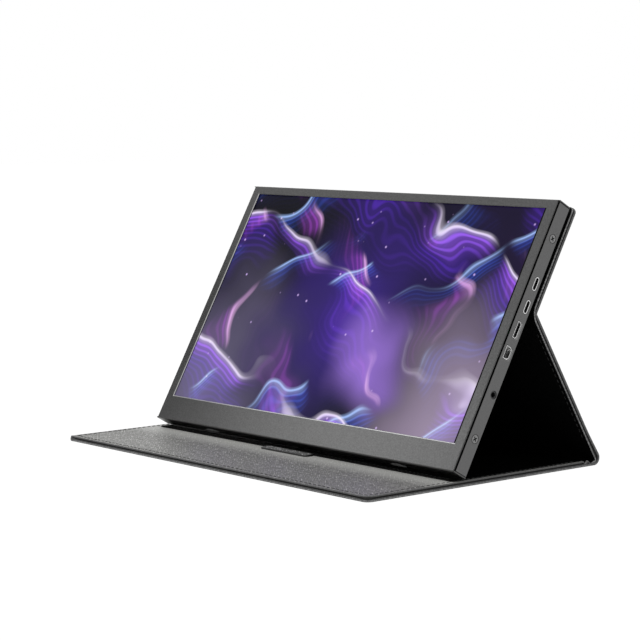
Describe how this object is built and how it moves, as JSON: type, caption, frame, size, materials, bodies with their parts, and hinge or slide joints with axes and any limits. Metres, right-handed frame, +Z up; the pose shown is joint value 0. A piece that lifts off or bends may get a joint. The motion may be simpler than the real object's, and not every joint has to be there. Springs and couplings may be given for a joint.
{
  "type": "portable monitor",
  "caption": "Flat portable monitor in a metal case, leaning on a folding leather cover that is its stand, with sockets in one side and push buttons in the other.",
  "frame": {"origin": "centre of the footprint on the table, under the cover's flap and spine", "axes": "+X along the screen towards the sockets, +Y away from the viewer, +Z up"},
  "size_m": [0.3182, 0.2089, 0.1772],
  "materials": {
    "shell_metal": "fine bead-blasted, dark grey anodised",
    "cover_metal": "dark grey anodised, satin",
    "post_metal": "milled",
    "dark_screw": "dark plated",
    "socket_steel": "bright nickel",
    "can_steel": "tinned",
    "screen_glass": "clear, over a lit picture",
    "film": "milky film",
    "light_plate": "clear acrylic",
    "white_film": "white film",
    "foam": "black foam",
    "circuit": "green solder mask",
    "chip": "moulded black",
    "black_plastic": "fine moulded",
    "ribbon": "amber film",
    "lead": "soft sleeve",
    "magnet": "bright plated",
    "outer_leather": "grained, semi-matt",
    "inner_leather": "fine grained, matt, stitched",
    "stiff_board": "pressed grey board",
    "foot_rubber": "soft grey"
  },
  "bodies": {
    "flap": {"flap_skin": "outer_leather", "flap_board": "stiff_board", "flap_lining": "inner_leather", "flap_magnets": "magnet", "stop_strip": "inner_leather", "leather_tab": "outer_leather"},
    "spine": {"spine_skin": "outer_leather", "spine_lining": "inner_leather"},
    "rear_panel": {"rear_skin": "outer_leather", "rear_board": "stiff_board", "rear_lining": "inner_leather", "middle_crease": "outer_leather"},
    "screen": {"front_bezel": "shell_metal", "side_plate_right": "shell_metal", "side_plate_left": "shell_metal", "rear_cover": "cover_metal", "corner_posts": "post_metal", "board_standoffs": "post_metal", "side_screws": "dark_screw", "cover_screws": "dark_screw", "window_gasket": "foam", "lcd_glass": "screen_glass", "diffuser_films": "film", "light_guide": "light_plate", "reflector_sheet": "white_film", "led_strip": "film", "panel_frame": "can_steel", "panel_board": "circuit", "main_board": "circuit", "board_chips": "chip", "board_shield": "can_steel", "board_screws": "dark_screw", "usb_c_port_upper": "socket_steel", "usb_c_port_lower": "socket_steel", "mini_hdmi_port": "socket_steel", "mini_dp_port": "socket_steel", "port_tongues": "black_plastic", "audio_jack": "black_plastic", "speaker_left": "black_plastic", "speaker_right": "black_plastic", "speaker_gaskets": "foam", "key_board": "circuit", "key_switches": "black_plastic", "display_cable": "ribbon", "key_cable": "ribbon", "speaker_leads": "lead", "bottom_feet": "foot_rubber", "adhesive_pad": "foam", "upper_skin": "outer_leather", "upper_board": "stiff_board", "upper_lining": "inner_leather"},
    "power_key": {"power_button": "shell_metal"},
    "plus_key": {"plus_button": "shell_metal"},
    "minus_key": {"minus_button": "shell_metal"}
  },
  "joints": [
    {"name": "spine_fold", "type": "hinge", "parent": "flap", "child": "spine", "pos_m": [0, 0.08965, 0], "axis": [1, 0, 0], "range_deg": [-175, 0]},
    {"name": "rear_fold", "type": "hinge", "parent": "spine", "child": "rear_panel", "pos_m": [0, 0.10255, 0.0019], "axis": [1, 0, 0], "range_deg": [-121.3, 0]},
    {"name": "mid_fold", "type": "hinge", "parent": "rear_panel", "child": "screen", "pos_m": [0, 0.0401, 0.1046], "axis": [1, 0, 0], "range_deg": [0, 60.7]},
    {"name": "power_press", "type": "slide", "parent": "screen", "child": "power_key", "axis": [1, 0, 0], "range_m": [0, 0.0005], "stiffness_N_per_m": 300},
    {"name": "plus_press", "type": "slide", "parent": "screen", "child": "plus_key", "axis": [1, 0, 0], "range_m": [0, 0.0005], "stiffness_N_per_m": 300},
    {"name": "minus_press", "type": "slide", "parent": "screen", "child": "minus_key", "axis": [1, 0, 0], "range_m": [0, 0.0005], "stiffness_N_per_m": 300}
  ],
  "couplings": [
    {"joint": "mid_fold", "follows": "rear_fold", "ratio": -0.50041}
  ]
}
